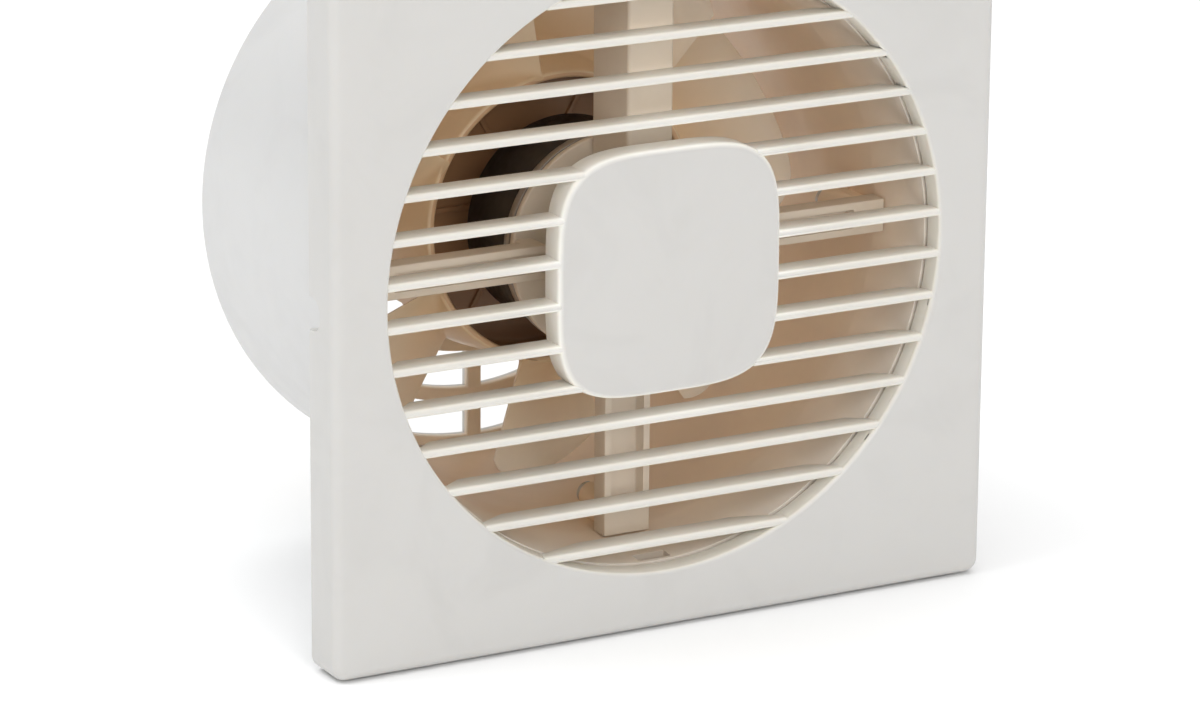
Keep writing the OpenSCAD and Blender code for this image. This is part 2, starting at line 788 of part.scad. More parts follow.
module impeller() {
    color([0.93, 0.91, 0.86]) difference() {
        union() {
            turned() polygon([[hub_r(hub_front) - hub_wall, at(hub_front)],
                              [hub_r(hub_front), at(hub_front)], [hub_r(hub_back), at(hub_back)],
                              [hub_r(hub_back) - hub_wall, at(hub_back)],
                              [hub_r(hub_floor_back) - hub_wall, at(hub_floor_back)],
                              [5, at(hub_floor_back)], [5, at(hub_floor_front)],
                              [hub_r(hub_floor_front) - hub_wall, at(hub_floor_front)]]);
            round_y(bush_boss_r, at(bush_front), at(hub_floor_back), small);
            for (k = [0 : hub_ribs - 1])
                polar(360 / hub_ribs * k, 0) translate([5, at(hub_floor_front - 3), -rib_t / 2])
                    cube([hub_front_r - 6, 3.5, rib_t]);
            for (k = [0 : blades - 1])
                rotate([0, -first_blade - 360 / blades * k, 0]) blade();
        }
        round_y(bush_r, at(62), at(hub_floor_back) + cut, small);
    }
}

module impeller_bush() {
    color([0.78, 0.64, 0.30]) difference() {
        union() {
            round_y(bush_r - 0.02, at(bush_front), at(hub_floor_back), small);
            round_y(6, at(hub_floor_back), at(nut_front), small);
        }
        round_y(shaft_r, at(62), at(79), small);
    }
}

module impeller_retainer() {
    color([0.70, 0.70, 0.72]) along_y(at(nut_front), at(81.2)) difference() {
        circle(4.2, $fn = 6);
        circle(shaft_r, $fn = small);
    }
}

front_grille();
housing();
housing_base();
motor_spider();
spider_screws();
wiring_duct_cover();
rear_guard();
guard_screws();
cable_grommet();
cable_clamp();
clamp_screws();
terminal_block();
terminal_contacts();
terminal_screws();
terminal_fixing_screw();
motor_leads();
motor_screws();
motor_front_plate();
motor_can();
front_bearing();
rear_bearing();
stator_core();
shading_rings();
coil_bobbins();
stator_coils();
rotor_core();
rotor_cage();
motor_shaft();
thrust_washers();
impeller();
impeller_bush();
impeller_retainer();
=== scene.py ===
# Looks of a wall-mounted axial extractor fan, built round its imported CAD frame.
# Everything is in metres in the CAD frame: +Y runs into the wall along the duct, +Z is up.
# Y is 0 at the wall, and angles about the duct run from +X towards +Z, in degrees.
import math

import bmesh
import bpy
from mathutils import Matrix, Vector


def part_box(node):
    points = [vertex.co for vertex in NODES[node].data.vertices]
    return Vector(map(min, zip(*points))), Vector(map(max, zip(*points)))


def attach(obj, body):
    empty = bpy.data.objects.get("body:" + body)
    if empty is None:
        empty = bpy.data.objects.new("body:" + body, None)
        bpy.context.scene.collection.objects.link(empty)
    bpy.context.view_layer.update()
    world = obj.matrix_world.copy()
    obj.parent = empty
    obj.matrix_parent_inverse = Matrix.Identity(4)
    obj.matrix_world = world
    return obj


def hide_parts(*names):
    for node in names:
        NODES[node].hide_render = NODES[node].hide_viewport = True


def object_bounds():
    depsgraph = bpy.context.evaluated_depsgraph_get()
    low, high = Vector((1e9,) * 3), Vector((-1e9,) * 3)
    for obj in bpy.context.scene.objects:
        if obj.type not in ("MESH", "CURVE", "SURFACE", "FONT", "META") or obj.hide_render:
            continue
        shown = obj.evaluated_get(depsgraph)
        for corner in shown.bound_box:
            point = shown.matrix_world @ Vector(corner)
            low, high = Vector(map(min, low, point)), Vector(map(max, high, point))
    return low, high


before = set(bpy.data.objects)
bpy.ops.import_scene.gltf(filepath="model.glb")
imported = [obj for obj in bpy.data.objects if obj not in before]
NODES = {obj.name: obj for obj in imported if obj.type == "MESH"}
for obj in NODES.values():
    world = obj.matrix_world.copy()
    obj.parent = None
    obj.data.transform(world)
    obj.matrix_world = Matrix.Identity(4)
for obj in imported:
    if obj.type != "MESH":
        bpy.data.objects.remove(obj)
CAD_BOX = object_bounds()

MM = 0.001
PAST = 5 * MM                            # how far a cutter runs past a face

# ---- places taken from the frame ------------------------------------------------------------

COVER_LOW, COVER_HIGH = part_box("front_grille")
BASE_LOW, BASE_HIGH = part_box("housing_base")
DUCT_LOW, DUCT_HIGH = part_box("housing")
DUCT_COVER_LOW, DUCT_COVER_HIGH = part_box("wiring_duct_cover")
GUARD_LOW, GUARD_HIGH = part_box("rear_guard")

FRONT = COVER_LOW.y                      # the cover's front face
HALF = COVER_HIGH.x                      # half the cover's width
BASE_HALF = BASE_HIGH.x                  # half the base's width


def at(depth_mm):
    """Y of a depth in millimetres behind the front face."""
    return FRONT + depth_mm * MM


# ---- mesh helpers ---------------------------------------------------------------------------


def make_object(name, bm):
    """Links a new mesh object that holds a bmesh's geometry, with outward normals."""
    bmesh.ops.recalc_face_normals(bm, faces=bm.faces)
    mesh = bpy.data.meshes.new(name)
    bm.to_mesh(mesh)
    bm.free()
    piece = bpy.data.objects.new(name, mesh)
    bpy.context.scene.collection.objects.link(piece)
    return piece


def join(name, pieces):
    """One object from several that don't overlap."""
    bm = bmesh.new()
    for piece in pieces:
        bm.from_mesh(piece.data)
        bpy.data.objects.remove(piece)
    return make_object(name, bm)


def apply_modifiers(piece):
    """Replaces a piece's mesh by its modified mesh."""
    depsgraph = bpy.context.evaluated_depsgraph_get()
    depsgraph.update()
    mesh = bpy.data.meshes.new_from_object(piece.evaluated_get(depsgraph))
    piece.modifiers.clear()
    piece.data = mesh


def combine(piece, others, operation="UNION"):
    """Adds or cuts other objects, and removes them."""
    for other in others:
        modifier = piece.modifiers.new("combine", "BOOLEAN")
        modifier.operation = operation
        modifier.solver = "EXACT"
        modifier.object = other
    apply_modifiers(piece)
    for other in others:
        bpy.data.objects.remove(other)
    return piece


def cut(piece, others):
    """Cuts other objects out of a piece."""
    return combine(piece, others, "DIFFERENCE")


def arc_corner(before, corner, after, radius, steps):
    """Points of the arc that rounds a corner of a flat outline."""
    a = (Vector(before) - Vector(corner)).normalized()
    b = (Vector(after) - Vector(corner)).normalized()
    half = a.angle(b) / 2
    reach = radius / math.tan(half)
    centre = Vector(corner) + (a + b).normalized() * radius / math.sin(half)
    start = Vector(corner) + a * reach - centre
    end = Vector(corner) + b * reach - centre
    sweep = math.atan2(start.x * end.y - start.y * end.x, start.dot(end))
    return [
        centre + Matrix.Rotation(sweep * i / steps, 2) @ start
        for i in range(steps + 1)
    ]


def rounded(corners, steps=6):
    """A closed outline from (a, b, radius) corners, each rounded by its radius."""
    points = []
    for i, (a, b, radius) in enumerate(corners):
        before = corners[i - 1][:2]
        after = corners[(i + 1) % len(corners)][:2]
        if radius > 0:
            points += arc_corner(before, (a, b), after, radius, steps)
        else:
            points.append(Vector((a, b)))
    return [(p.x, p.y) for p in points]


def lathe(name, outline, steps=192, centre=(0, 0)):
    """Turns a closed outline of (radius, y) points about an axis along Y."""
    bm = bmesh.new()
    rings = []
    for i in range(steps):
        angle = 2 * math.pi * i / steps
        c, s = math.cos(angle), math.sin(angle)
        rings.append([
            bm.verts.new((centre[0] + r * c, y, centre[1] + r * s)) for r, y in outline
        ])
    for i, ring in enumerate(rings):
        after = rings[(i + 1) % steps]
        for j in range(len(outline)):
            k = (j + 1) % len(outline)
            bm.faces.new((ring[j], ring[k], after[k], after[j]))
    bmesh.ops.remove_doubles(bm, verts=bm.verts, dist=1e-7)
    return make_object(name, bm)


def bar_y(name, radius, y0, y1, centre=(0, 0), edge=0.0, steps=48):
    """A round bar along Y, its two rims rounded."""
    corners = [(0, y0, 0), (radius, y0, edge), (radius, y1, edge), (0, y1, 0)]
    return lathe(name, rounded(corners, 3), steps, centre)


def stack(name, rings):
    """A closed solid through rings of points, capped at both ends."""
    bm = bmesh.new()
    rows = [[bm.verts.new(p) for p in ring] for ring in rings]
    count = len(rows[0])
    for low, high in zip(rows, rows[1:]):
        for j in range(count):
            k = (j + 1) % count
            bm.faces.new((low[j], low[k], high[k], high[j]))
    bm.faces.new(rows[0])
    bm.faces.new(rows[-1])
    return make_object(name, bm)


def quarter(steps):
    """Angles of a quarter turn, in radians."""
    return [math.pi / 2 * i / steps for i in range(steps + 1)]


def prism(name, outline, y0, y1, front=0.0, back=0.0, steps=6):
    """Extrudes outline(inset), a flat shape in X and Z, along Y with rounded rims."""
    levels = [(y0, 0)]
    if front:
        levels = [(y0 + front * (1 - math.cos(a)), front * (1 - math.sin(a)))
                  for a in quarter(steps)]
    ends = [(y1, 0)]
    if back:
        ends = [(y1 - back * (1 - math.sin(a)), back * (1 - math.cos(a)))
                for a in quarter(steps)]
    rings = [[(x, y, z) for x, z in outline(inset)] for y, inset in levels + ends]
    return stack(name, rings)


def rounded_square(half, corner, steps=8):
    """outline(inset) of a square with rounded corners."""
    def outline(inset):
        h, r = half - inset, max(corner - inset, 0.2 * MM)
        return rounded([(h, h, r), (-h, h, r), (-h, -h, r), (h, -h, r)], steps)
    return outline


def squircle(half, power=4, steps=128):
    """outline(inset) of a superellipse."""
    def outline(inset):
        points = []
        for i in range(steps):
            a = 2 * math.pi * i / steps
            c, s = math.cos(a), math.sin(a)
            size = (half - inset) / (abs(c) ** power + abs(s) ** power) ** (1 / power)
            points.append((size * c, size * s))
        return points
    return outline


def box(name, low, high, edge=0.0, segments=3):
    """A block between two corners, its edges rounded."""
    bm = bmesh.new()
    bmesh.ops.create_cube(bm, size=1)
    low, high = Vector(low), Vector(high)
    for vert in bm.verts:
        vert.co = Vector(
            low[i] + (vert.co[i] + 0.5) * (high[i] - low[i]) for i in range(3)
        )
    if edge:
        bmesh.ops.bevel(bm, geom=bm.edges, offset=edge, segments=segments,
                        profile=0.5, affect="EDGES")
    return make_object(name, bm)


def turn_y(piece, degrees):
    """Turns a piece's mesh about the duct's axis."""
    piece.data.transform(Matrix.Rotation(-math.radians(degrees), 4, "Y"))
    return piece


def polar_xz(degrees, radius):
    """X and Z of a place about the duct's axis."""
    a = math.radians(degrees)
    return radius * math.cos(a), radius * math.sin(a)


def shade(piece, angle=40):
    """Shades a piece smooth, but not over edges sharper than an angle in degrees."""
    mesh = piece.data
    mesh.polygons.foreach_set("use_smooth", [True] * len(mesh.polygons))
    mesh.set_sharp_from_angle(angle=math.radians(angle))


def soften(piece, width_mm, angle=35):
    """Rounds the sharp edges and smooths the shading between them."""
    modifier = piece.modifiers.new("soft_edges", "BEVEL")
    modifier.width = width_mm * MM
    modifier.segments = 2
    modifier.limit_method = "ANGLE"
    modifier.angle_limit = math.radians(angle)
    modifier.use_clamp_overlap = True
    modifier.harden_normals = False
    modifier.miter_outer = "MITER_ARC"
    shade(piece)


# ---- shader nodes ---------------------------------------------------------------------------

# Scales of surface marks, in cycles per metre
FLOW_MARKS, SINK_MARKS, WIPE_MARKS, SKIN_GRAIN = 38, 55, 160, 2600
TARNISH, GRINDING = 260, 900
SPRAY_CLOUDS, SPRAY_POLISH, ORANGE_PEEL = 120, 500, 1400


def new_material(name):
    """A material, its node tree and its Principled shader."""
    material = bpy.data.materials.new(name)
    material.use_nodes = True
    tree = material.node_tree
    return material, tree, tree.nodes["Principled BSDF"]


def noise(tree, scale, detail=4, roughness=0.5, distortion=0.0, stretch=None):
    """Object-space noise, in cycles per metre, stretched along X, Y and Z if asked."""
    place = tree.nodes.new("ShaderNodeTexCoord").outputs["Object"]
    if stretch:
        mapping = tree.nodes.new("ShaderNodeMapping")
        mapping.inputs["Scale"].default_value = stretch
        tree.links.new(place, mapping.inputs["Vector"])
        place = mapping.outputs["Vector"]
    texture = tree.nodes.new("ShaderNodeTexNoise")
    texture.inputs["Scale"].default_value = scale
    texture.inputs["Detail"].default_value = detail
    texture.inputs["Roughness"].default_value = roughness
    texture.inputs["Distortion"].default_value = distortion
    tree.links.new(place, texture.inputs["Vector"])
    return texture.outputs["Fac"]


def waves(tree, scale, direction, distortion, detail):
    """Object-space wave bands across one axis."""
    coords = tree.nodes.new("ShaderNodeTexCoord")
    wave = tree.nodes.new("ShaderNodeTexWave")
    wave.bands_direction = direction
    wave.inputs["Scale"].default_value = scale
    wave.inputs["Distortion"].default_value = distortion
    wave.inputs["Detail"].default_value = detail
    tree.links.new(coords.outputs["Object"], wave.inputs["Vector"])
    return wave.outputs["Fac"]


def ramp(tree, source, stops):
    """A colour ramp of (position, colour) stops."""
    node = tree.nodes.new("ShaderNodeValToRGB")
    tree.links.new(source, node.inputs["Fac"])
    elements = node.color_ramp.elements
    while len(elements) > 1:
        elements.remove(elements[-1])
    for i, (place, colour) in enumerate(stops):
        element = elements[0] if i == 0 else elements.new(place)
        element.position = place
        element.color = (*colour, 1)
    return node.outputs["Color"]


def share_between(tree, source, start, end, low=0, high=1):
    """A value that runs from low to high as its source runs from start to end."""
    node = tree.nodes.new("ShaderNodeMapRange")
    node.inputs["From Min"].default_value = start
    node.inputs["From Max"].default_value = end
    node.inputs["To Min"].default_value = low
    node.inputs["To Max"].default_value = high
    tree.links.new(source, node.inputs["Value"])
    return node.outputs["Result"]


def polish(tree, shader, source, low, high):
    """Roughness that follows a noise, which mostly runs from 0.3 to 0.7."""
    tree.links.new(share_between(tree, source, 0.3, 0.7, low, high), shader.inputs["Roughness"])


def bump(tree, height, strength, distance_mm, below=None):
    """A normal that follows a height, over another normal if there is one."""
    node = tree.nodes.new("ShaderNodeBump")
    node.inputs["Strength"].default_value = strength
    node.inputs["Distance"].default_value = distance_mm * MM
    tree.links.new(height, node.inputs["Height"])
    if below:
        tree.links.new(below, node.inputs["Normal"])
    return node.outputs["Normal"]


def maths(tree, operation, *values):
    """A Math node on sockets or plain numbers."""
    node = tree.nodes.new("ShaderNodeMath")
    node.operation = operation
    for socket, value in zip(node.inputs, values):
        if isinstance(value, (int, float)):
            socket.default_value = value
        else:
            tree.links.new(value, socket)
    return node.outputs["Value"]


def place_mm(tree):
    """Y in the piece's own frame and the distance from the duct's axis, in mm."""
    coords = tree.nodes.new("ShaderNodeTexCoord")
    split = tree.nodes.new("ShaderNodeSeparateXYZ")
    tree.links.new(coords.outputs["Object"], split.inputs["Vector"])
    x, y, z = (maths(tree, "MULTIPLY", split.outputs[axis], 1 / MM) for axis in "XYZ")
    square = maths(tree, "ADD", maths(tree, "MULTIPLY", x, x), maths(tree, "MULTIPLY", z, z))
    return y, maths(tree, "SQRT", square)


def blend(tree, share, one, other):
    """One colour where share is 0, the other where it is 1."""
    node = tree.nodes.new("ShaderNodeMix")
    node.data_type = "RGBA"
    tree.links.new(share, node.inputs["Factor"])
    tree.links.new(one, node.inputs["A"])
    tree.links.new(other, node.inputs["B"])
    return node.outputs["Result"]


def shade_of(colour, factor):
    """A colour made darker or lighter."""
    return tuple(c * factor for c in colour)


def mottled(tree, colour):
    """The faint flow marks of one moulding colour."""
    flow = noise(tree, FLOW_MARKS, detail=3, roughness=0.6, distortion=0.8)
    return ramp(tree, flow, [(0.30, shade_of(colour, 0.965)), (0.5, colour),
                             (0.72, shade_of(colour, 1.01))])


# ---- kinds of material ----------------------------------------------------------------------


def moulded_plastic(name, colour, rough=0.32, translucency=0.12, inner=None):
    """Injection-moulded plastic: flow marks, a fine skin texture, soft depth, and painted light
    and shade inside if asked.
    """
    material, tree, shader = new_material(name)
    tint = mottled(tree, colour)
    if inner:
        tint = inner(tree, tint)
    tree.links.new(tint, shader.inputs["Base Color"])
    polish(tree, shader, noise(tree, WIPE_MARKS), rough - 0.03, rough + 0.05)
    skin = bump(tree, noise(tree, SKIN_GRAIN, detail=2), strength=0.25, distance_mm=0.02)
    sinks = bump(tree, noise(tree, SINK_MARKS, detail=1), strength=0.12, distance_mm=0.12,
                 below=skin)
    tree.links.new(sinks, shader.inputs["Normal"])
    shader.inputs["IOR"].default_value = 1.49
    shader.inputs["Subsurface Weight"].default_value = translucency
    shader.inputs["Subsurface Radius"].default_value = (1.0, 0.72, 0.45)
    shader.inputs["Subsurface Scale"].default_value = 2.0 * MM
    return material


def metal(name, colour, rough, scratch=0.25, stretch=None):
    """Bare or plated metal: stretched grinding marks and uneven polish."""
    material, tree, shader = new_material(name)
    marks = noise(tree, GRINDING, detail=5, stretch=stretch)
    tint = ramp(tree, noise(tree, TARNISH), [(0.35, shade_of(colour, 0.86)), (0.65, colour)])
    tree.links.new(tint, shader.inputs["Base Color"])
    polish(tree, shader, marks, rough - 0.08, rough + 0.12)
    tree.links.new(bump(tree, marks, strength=scratch, distance_mm=0.02), shader.inputs["Normal"])
    shader.inputs["Metallic"].default_value = 1.0
    return material


def enamel(name, colour, rough):
    """Sprayed enamel or rubber with a slight orange peel."""
    material, tree, shader = new_material(name)
    tint = ramp(tree, noise(tree, SPRAY_CLOUDS), [(0.35, shade_of(colour, 0.8)),
                                                  (0.7, shade_of(colour, 1.2))])
    tree.links.new(tint, shader.inputs["Base Color"])
    polish(tree, shader, noise(tree, SPRAY_POLISH), rough - 0.06, rough + 0.1)
    peel = bump(tree, noise(tree, ORANGE_PEEL, detail=2), strength=0.3, distance_mm=0.03)
    tree.links.new(peel, shader.inputs["Normal"])
    return material


def wound(name, colour, pitch):
    """Layers of thin enamelled wire, side by side."""
    material, tree, shader = new_material(name)
    turns = waves(tree, 1 / pitch, "X", distortion=0.6, detail=1)
    # The dark bands are painted shade in the grooves between turns.
    tint = ramp(tree, turns, [(0.1, shade_of(colour, 0.35)), (0.6, colour)])
    tree.links.new(tint, shader.inputs["Base Color"])
    tree.links.new(bump(tree, turns, strength=0.8, distance_mm=0.15), shader.inputs["Normal"])
    shader.inputs["Metallic"].default_value = 0.7
    shader.inputs["Roughness"].default_value = 0.3
    return material


def stacked_steel(name, colour, sheet=0.5 * MM):
    """The edges of thin stacked sheets, across Y."""
    material, tree, shader = new_material(name)
    bands_per_metre = 0.314 / sheet
    sheets = waves(tree, bands_per_metre, "Y", distortion=0.4, detail=2)
    tint = ramp(tree, sheets, [(0.15, shade_of(colour, 0.4)), (0.5, colour)])
    tree.links.new(tint, shader.inputs["Base Color"])
    tree.links.new(bump(tree, sheets, strength=0.7, distance_mm=0.12), shader.inputs["Normal"])
    shader.inputs["Metallic"].default_value = 0.85
    shader.inputs["Roughness"].default_value = 0.42
    return material


# ---- tints of painted light and shade that follow the place on a piece; lengths in millimetres ---

BORE_SIDE_R = 74.8                       # what lies nearer the axis is the duct's inside
COLLAR_END_Y = -0.5                      # what lies in front is the mouth's collar
REAR_RIM_Y = 91.2                        # what lies behind is the duct's and guard's rear face
# The bore's warm tint is painted shade: it stands in for warm light bounced about the shaded bore.
BORE_START_Y, BORE_DEEP_Y = -7, 20
BORE_START_TINT, BORE_DEEP_TINT = (0.80, 0.72, 0.63), (0.97, 0.76, 0.55)
# The guard front's warm tint is painted shade on the side that faces into the duct.
GUARD_FRONT_TINT = (0.88, 0.78, 0.65)

BLADE_DARK_R, BLADE_PALE_R = 42, 64      # where the blades' painted root shade starts and stops to fade into painted light at the tips
BLADE_ROOT_TINT = (0.89, 0.69, 0.46)
HUB_WALL_R, HUB_WALL_SLOPE = 31.7, 0.117  # the middle of the hub's wall: radius at Y 0, per Y
HUB_FLOOR_Y = 63.2                       # the middle of the hub's floor
# The cup's tints, darker with depth, are painted shade inside the hub.
CUP_START_Y, CUP_DEEP_Y = 42.5, 60
CUP_TINTS = [(0.0, (0.80, 0.53, 0.31)), (0.25, (0.66, 0.40, 0.21)), (1.0, (0.40, 0.21, 0.10))]

BAR_NOSE_Y, BAR_SIDE_Y = -12.95, -12.3   # the flat front ends, the bars' painted light starts
COLLAR_SIDE_R = 76.9                     # just inside the collar's outside
CREAM_INNER_R, CREAM_OUTER_R = 31, 42    # where the painted light starts and stops to dim
CREAM_INNER_TINT, CREAM_OUTER_TINT = (0.93, 0.91, 0.85), (0.79, 0.76, 0.685)
TONGUE_R, TONGUE_HALF = 78.3, 1.2        # the ring that the latch tongues lie in
TONGUE_START_Y = -10.3                   # the back of the cover's face
# The tongues' brown is painted shade in the latch windows.
TONGUE_TINT = (0.66, 0.47, 0.28)


def duct_bore(tree, outside):
    """The duct's bore and collar, tinted warm as painted shade, warmer with depth; its outside
    stays white.
    """
    y, radius = place_mm(tree)
    inside = maths(tree, "MAXIMUM", maths(tree, "LESS_THAN", radius, BORE_SIDE_R),
                   maths(tree, "LESS_THAN", y, COLLAR_END_Y))
    share = maths(tree, "MULTIPLY", inside, maths(tree, "LESS_THAN", y, REAR_RIM_Y))
    painted_warm_shade = blend(tree, share_between(tree, y, BORE_START_Y, BORE_DEEP_Y),
                 mottled(tree, BORE_START_TINT), mottled(tree, BORE_DEEP_TINT))
    return blend(tree, share, outside, painted_warm_shade)


def guard_front(tree, outside):
    """The guard's front, tinted warm as painted shade, as the bore is; its back stays pale."""
    y, _ = place_mm(tree)
    share = maths(tree, "LESS_THAN", y, REAR_RIM_Y)
    return blend(tree, share, outside, mottled(tree, GUARD_FRONT_TINT))


def hub_cup(tree, outside):
    """The hub's inside, darker with depth as painted shade, and blades darker at their roots and
    paler at their tips: painted shade and light.
    """
    y, radius = place_mm(tree)
    blades = blend(tree, share_between(tree, radius, BLADE_DARK_R, BLADE_PALE_R),
                   mottled(tree, BLADE_ROOT_TINT), outside)
    wall_middle = maths(tree, "MULTIPLY_ADD", y, HUB_WALL_SLOPE, HUB_WALL_R)
    inside = maths(tree, "MULTIPLY", maths(tree, "LESS_THAN", radius, wall_middle),
                   maths(tree, "LESS_THAN", y, HUB_FLOOR_Y))
    brown = ramp(tree, share_between(tree, y, CUP_START_Y, CUP_DEEP_Y), CUP_TINTS)
    return blend(tree, inside, blades, brown)


def warm_bars(tree, outside):
    """The bars, the boss's sides and the mouth's lip, lighter and creamier than the flat front:
    painted light; and the tongues brown: painted shade.
    """
    y, radius = place_mm(tree)
    share = maths(tree, "MULTIPLY", share_between(tree, y, BAR_NOSE_Y, BAR_SIDE_Y),
                  maths(tree, "LESS_THAN", radius, COLLAR_SIDE_R))
    # Painted light, strongest on the boss's sides and fading outwards.
    cream = blend(tree, share_between(tree, radius, CREAM_INNER_R, CREAM_OUTER_R),
                  mottled(tree, CREAM_INNER_TINT), mottled(tree, CREAM_OUTER_TINT))
    front = blend(tree, share, outside, cream)
    # Painted shade on the tongues, which lie in the shaded windows.
    from_tongue = maths(tree, "ABSOLUTE", maths(tree, "SUBTRACT", radius, TONGUE_R))
    behind = maths(tree, "MULTIPLY", maths(tree, "GREATER_THAN", y, TONGUE_START_Y),
                   maths(tree, "LESS_THAN", from_tongue, TONGUE_HALF))
    return blend(tree, behind, front, mottled(tree, TONGUE_TINT))


# ---- the materials --------------------------------------------------------------------------

COVER = moulded_plastic("cover_white", (0.562, 0.550, 0.529), rough=0.34, inner=warm_bars)
BASE_WHITE = moulded_plastic("housing_white", (0.62, 0.615, 0.605), rough=0.38)
HOUSING = moulded_plastic("housing_cream", (0.62, 0.615, 0.605), rough=0.38, inner=duct_bore)
# The spider's tan, darker and warmer than the housing, is painted shade of cream plastic inside
# the duct.
SPIDER = moulded_plastic("spider_cream", (0.735, 0.63, 0.51), rough=0.40)
IMPELLER = moulded_plastic("impeller_cream", (0.97, 0.86, 0.72), rough=0.36, inner=hub_cup)
GUARD = moulded_plastic("guard_cream", (0.66, 0.645, 0.61), rough=0.38, inner=guard_front)
NYLON = moulded_plastic("nylon", (0.70, 0.68, 0.62), rough=0.45, translucency=0.2)
TERMINAL = moulded_plastic("terminal_nylon", (0.74, 0.74, 0.71), rough=0.4, translucency=0.25)
INSULATION = moulded_plastic("blue_insulation", (0.03, 0.08, 0.30), rough=0.35, translucency=0)
RUBBER = enamel("grommet_rubber", (0.02, 0.02, 0.02), rough=0.7)
BLACK_CAN = enamel("black_enamel", (0.018, 0.014, 0.012), rough=0.42)
ZINC = metal("zinc", (0.62, 0.63, 0.66), rough=0.32)
PLATED = metal("plated_steel", (0.42, 0.41, 0.40), rough=0.42, stretch=(1, 14, 1))
STEEL = metal("ground_steel", (0.66, 0.66, 0.68), rough=0.22, stretch=(1, 0.1, 1))
BRASS = metal("brass", (0.72, 0.50, 0.20), rough=0.28)
BRONZE = metal("sintered_bronze", (0.42, 0.26, 0.12), rough=0.5, scratch=0.6)
COPPER = metal("copper", (0.68, 0.32, 0.18), rough=0.3)
ALUMINIUM = metal("cast_aluminium", (0.66, 0.67, 0.69), rough=0.42, scratch=0.5)
LAMINATIONS = stacked_steel("laminations", (0.34, 0.34, 0.36))
WINDING = wound("enamelled_winding", (0.52, 0.20, 0.07), 0.9 * MM)


def dress(piece, material):
    """Gives a piece its one material."""
    piece.data.materials.clear()
    piece.data.materials.append(material)


def stand_for(piece, node, body, material):
    """Registers a finished piece: its look, its body and the node that it replaces."""
    dress(piece, material)
    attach(piece, body)
    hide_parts(node)


# ---- the cover: plate, mouth, bars and boss -------------------------------------------------

OPENING_R = 75.5 * MM                    # the mouth
COLLAR_BACK_R = 74.9 * MM                # the collar's inside at its back
COLLAR_OUT_R = 77 * MM                   # the collar's outside
LIP_R = 1.1 * MM                         # the rounding of the mouth's edge
COVER_WALL = 2.2 * MM
COVER_FACE_MM = 2.6                      # the thickness of the cover's face
BOSS_HALF = 30.4 * MM
BOSS_POWER = 4                           # of the boss's superellipse
BOSS_WALL = 2 * MM
BARS_PER_HALF = 7
BAR_PITCH = 10.5 * MM
BAR_T = 2 * MM
BAR_EDGE = 0.35 * MM
BAR_NOSE_STEPS = 12
BAR_FRONT = at(0.3)
BAR_BACK = at(7.5)
BAR_TAPER_R = 71.5 * MM                  # from here out the bars get shallower
BAR_TAPER = 4 * MM
BAR_ROOT = 1.2 * MM                      # how deep a bar ends in the boss's wall
BAR_TIP = 0.6 * MM                       # how deep a bar ends in the collar


def bar_section(back):
    """The outline of a bar in (y, z): a round nose, and small radii at the back."""
    r, e = BAR_T / 2, BAR_EDGE
    nose = [
        (BAR_FRONT + r - r * math.sin(a), r * math.cos(a))
        for a in (math.pi * i / BAR_NOSE_STEPS for i in range(BAR_NOSE_STEPS + 1))
    ]
    tail = [(back - e, -r), (back - 0.3 * e, -r + 0.3 * e), (back, -r + e),
            (back, r - e), (back - 0.3 * e, r - 0.3 * e), (back - e, r)]
    return nose + tail


def louvre(z, inner, side, steps=5):
    """The rings of one bar, or half of one, from x = inner to the collar on one side."""
    end_r = OPENING_R + BAR_TIP
    x_taper = math.sqrt(max(BAR_TAPER_R ** 2 - z * z, 0))
    x_end = math.sqrt(end_r ** 2 - z * z)
    stations = [(inner, BAR_BACK)]
    if x_taper > inner + 0.5 * MM:
        stations.append((x_taper, BAR_BACK))
    for i in range(1, steps + 1):
        x = x_taper + (x_end - x_taper) * i / steps
        if x > inner:
            share = (math.hypot(x, z) - BAR_TAPER_R) / (end_r - BAR_TAPER_R)
            stations.append((x, BAR_BACK - BAR_TAPER * max(share, 0)))
    return [[(side * x, y, z + dz) for y, dz in bar_section(back)] for x, back in stations]


def grille_bars():
    """All bars; those behind the boss are two halves that end in its wall."""
    pieces = []
    for k in range(BARS_PER_HALF):
        for sign in (-1, 1):
            z = sign * (k + 0.5) * BAR_PITCH
            if abs(z) < BOSS_HALF - 1 * MM:
                share = (1 - (abs(z) / BOSS_HALF) ** BOSS_POWER) ** (1 / BOSS_POWER)
                inner = BOSS_HALF * share - BAR_ROOT
                pieces += [stack("bar", louvre(z, inner, side)) for side in (-1, 1)]
            else:
                right, left = louvre(z, 0, 1), louvre(z, 0, -1)
                pieces.append(stack("bar", left[:0:-1] + right))
    return join("bars", pieces)


def cover_cavity():
    """The room behind the cover's face."""
    return prism("cavity", rounded_square(HALF - COVER_WALL, 2.5 * MM), at(COVER_FACE_MM), PAST,
                 front=0.8 * MM, steps=4)


def mouth_cutter():
    """The round mouth, its front edge rounded."""
    edge = [(OPENING_R + LIP_R * (1 - math.sin(a)), FRONT + LIP_R * (1 - math.cos(a)))
            for a in quarter(8)]
    outline = [(0, FRONT - PAST), (OPENING_R + LIP_R, FRONT - PAST), *edge,
               (OPENING_R, PAST), (0, PAST)]
    return lathe("mouth", outline, 256)


def notch_cutter(side):
    """The screwdriver's notch in the rear edge of the cover's left or right side."""
    x0, x1 = sorted((side * (HALF - PAST), side * (HALF + 1 * MM)))
    bottom, top, corner = -5.6 * MM, 2.6 * MM, 4 * MM
    front, back = -6.1 * MM, 3 * MM
    outline = rounded([(front, bottom, corner), (back, bottom, 0),
                       (back, top, 0), (front, top, corner)], 8)
    return stack("notch", [[(x, y, z) for y, z in outline] for x in (x0, x1)])


